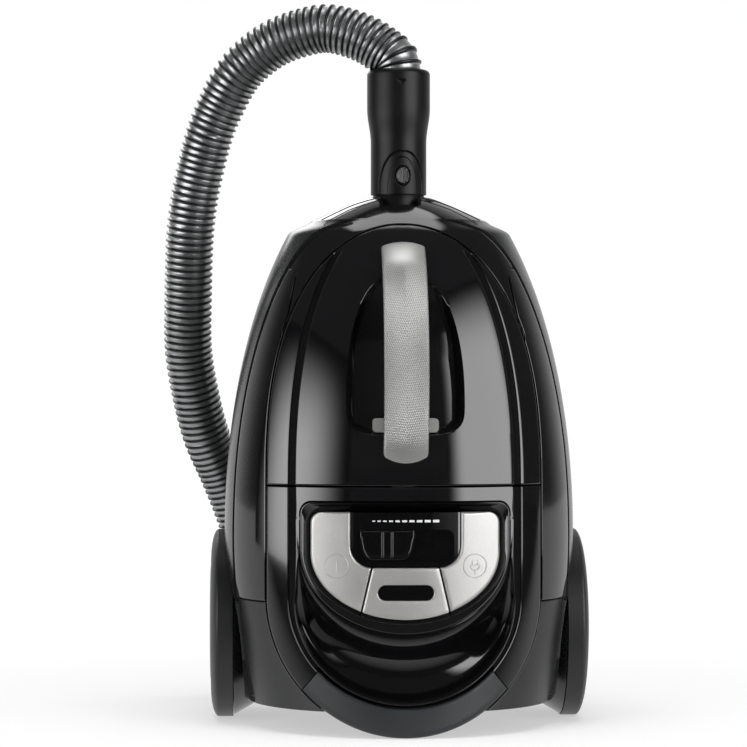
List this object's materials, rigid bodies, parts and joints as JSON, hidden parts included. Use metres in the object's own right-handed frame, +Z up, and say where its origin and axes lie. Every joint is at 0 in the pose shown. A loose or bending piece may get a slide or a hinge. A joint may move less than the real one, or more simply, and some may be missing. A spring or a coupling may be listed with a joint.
{
  "type": "canister vacuum cleaner",
  "caption": "Compact canister vacuum cleaner standing on its rear end, with a lift-off dust container, large side wheels, a swivelling hose cuff and a ribbed hose.",
  "frame": {"origin": "on the floor, under the middle of the cleaner without its hose, as it stands parked on its rear end", "axes": "+Z up as it stands parked, +X to its right seen from the top cover, -Y towards the carrying handle, +Y the underside with the castor"},
  "size_m": [0.3378, 0.7408, 0.5695],
  "materials": {
    "gloss_shell": "gloss",
    "tub_shell": "satin",
    "satin_trim": "satin",
    "bumper": "matte",
    "silver_plastic": "satin metallic",
    "dark_gloss": "gloss",
    "smoked_cup": "clear smoked",
    "grey_plastic": "satin",
    "circuit_board": "satin",
    "black_fitting": "satin",
    "seal_rubber": "matte",
    "hose_graphite": "satin metallic",
    "foam": "matte",
    "filter_paper": "matte",
    "zinc_steel": "satin",
    "fan_alloy": "satin",
    "hub_plastic": "satin",
    "tread": "matte"
  },
  "bodies": {
    "housing": {"base_housing": "tub_shell", "body_frame": "satin_trim", "nose_cover": "gloss_shell", "nose_cap": "gloss_shell", "side_fairings": "gloss_shell", "side_skirts": "satin_trim", "rear_deck": "gloss_shell", "rear_bumper": "bumper", "deck_trim": "gloss_shell", "rear_apron": "satin_trim", "wheel_arches": "satin_trim", "control_bezel": "gloss_shell", "indicator_plate": "silver_plastic", "indicator_lens": "dark_gloss", "scale_plate": "dark_gloss", "control_board": "circuit_board", "inlet_collar": "black_fitting", "inlet_seal": "seal_rubber", "hose": "hose_graphite", "hose_grip": "black_fitting", "bulkhead": "grey_plastic", "motor_filter": "foam", "fan_shroud": "zinc_steel", "motor_can": "zinc_steel", "bearings": "zinc_steel", "motor_mounts": "seal_rubber", "reel_bracket": "grey_plastic", "axles": "zinc_steel", "caster_socket": "satin_trim", "exhaust_tray": "grey_plastic", "exhaust_filter": "filter_paper", "cord_gland": "seal_rubber", "screws": "zinc_steel"},
    "container": {"container_cover": "gloss_shell", "handle_core": "satin_trim", "handle_grip": "silver_plastic", "container_top": "grey_plastic", "cup_seal": "seal_rubber", "dust_cup": "smoked_cup", "vortex_finder": "grey_plastic", "latch_spring": "zinc_steel"},
    "release": {"release_key": "silver_plastic"},
    "latch": {"latch_slide": "grey_plastic"},
    "power": {"power_key": "silver_plastic"},
    "rewind": {"rewind_key": "silver_plastic"},
    "brake": {"brake_lever": "grey_plastic"},
    "suction": {"slider_knob": "dark_gloss"},
    "cuff": {"hose_cuff": "black_fitting"},
    "cuff_press": {"cuff_button": "dark_gloss"},
    "rotor": {"fan": "fan_alloy", "motor_shaft": "zinc_steel"},
    "reel": {"reel_drum": "grey_plastic"},
    "left_wheel": {"wheel_hub_left": "hub_plastic", "tyre_left": "tread"},
    "right_wheel": {"wheel_hub_right": "hub_plastic", "tyre_right": "tread"},
    "caster": {"caster_fork": "hub_plastic"},
    "caster_roller": {"caster_wheel": "tread"},
    "exhaust_door": {"exhaust_cover": "black_fitting"},
    "vent": {"vent_slider": "silver_plastic"}
  },
  "joints": [
    {"name": "container_lift", "type": "slide", "parent": "housing", "child": "container", "axis": [0, -1, 0], "range_m": [0, 0.16]},
    {"name": "release_press", "type": "slide", "parent": "container", "child": "release", "axis": [0, 1, 0], "range_m": [0, 0.004], "stiffness_N_per_m": 1500, "springref_m": -0.002},
    {"name": "latch_move", "type": "slide", "parent": "container", "child": "latch", "axis": [0, 0, 1], "range_m": [0, 0.004], "stiffness_N_per_m": 1500, "springref_m": -0.002, "deforming": ["latch_spring"]},
    {"name": "power_press", "type": "slide", "parent": "housing", "child": "power", "axis": [0, 1, 0], "range_m": [0, 0.003], "stiffness_N_per_m": 1500, "springref_m": -0.001},
    {"name": "rewind_press", "type": "slide", "parent": "housing", "child": "rewind", "axis": [0, 1, 0], "range_m": [0, 0.003], "stiffness_N_per_m": 1500, "springref_m": -0.001},
    {"name": "brake_swing", "type": "hinge", "parent": "housing", "child": "brake", "pos_m": [0.054, -0.058, 0.112], "axis": [-1, 0, 0], "range_deg": [0, 9.3]},
    {"name": "suction_slide", "type": "slide", "parent": "housing", "child": "suction", "axis": [1, 0, 0], "range_m": [0, 0.03]},
    {"name": "cuff_swivel", "type": "hinge", "parent": "housing", "child": "cuff", "pos_m": [0, 0.015, 0.45], "axis": [0, 0, 1], "continuous": true},
    {"name": "cuff_button_press", "type": "slide", "parent": "cuff", "child": "cuff_press", "axis": [0, 1, 0], "range_m": [0, 0.0025], "stiffness_N_per_m": 800, "springref_m": -0.001},
    {"name": "fan_spin", "type": "hinge", "parent": "housing", "child": "rotor", "pos_m": [-0.044, 0.015, 0.12], "axis": [0, 0, 1], "continuous": true},
    {"name": "reel_spin", "type": "hinge", "parent": "housing", "child": "reel", "pos_m": [0.054, 0.02, 0.1], "axis": [1, 0, 0], "continuous": true},
    {"name": "left_wheel_spin", "type": "hinge", "parent": "housing", "child": "left_wheel", "pos_m": [-0.13, 0.0475, 0.075], "axis": [1, 0, 0], "continuous": true},
    {"name": "right_wheel_spin", "type": "hinge", "parent": "housing", "child": "right_wheel", "pos_m": [0.13, 0.0475, 0.075], "axis": [1, 0, 0], "continuous": true},
    {"name": "caster_swivel", "type": "hinge", "parent": "housing", "child": "caster", "pos_m": [0, 0.09, 0.345], "axis": [0, 1, 0], "continuous": true},
    {"name": "caster_spin", "type": "hinge", "parent": "caster", "child": "caster_roller", "pos_m": [0, 0.1075, 0.335], "axis": [1, 0, 0], "continuous": true},
    {"name": "exhaust_door_swing", "type": "hinge", "parent": "housing", "child": "exhaust_door", "pos_m": [-0.038, 0.1066, 0.1495], "axis": [1, 0, 0], "range_deg": [0, 95]},
    {"name": "vent_slide", "type": "slide", "parent": "housing", "child": "vent", "axis": [0, 1, 0], "range_m": [0, 0.013]}
  ],
  "couplings": [
    {"joint": "latch_move", "follows": "release_press", "ratio": 1},
    {"joint": "brake_swing", "follows": "rewind_press", "rad_per_m": 54.1}
  ]
}
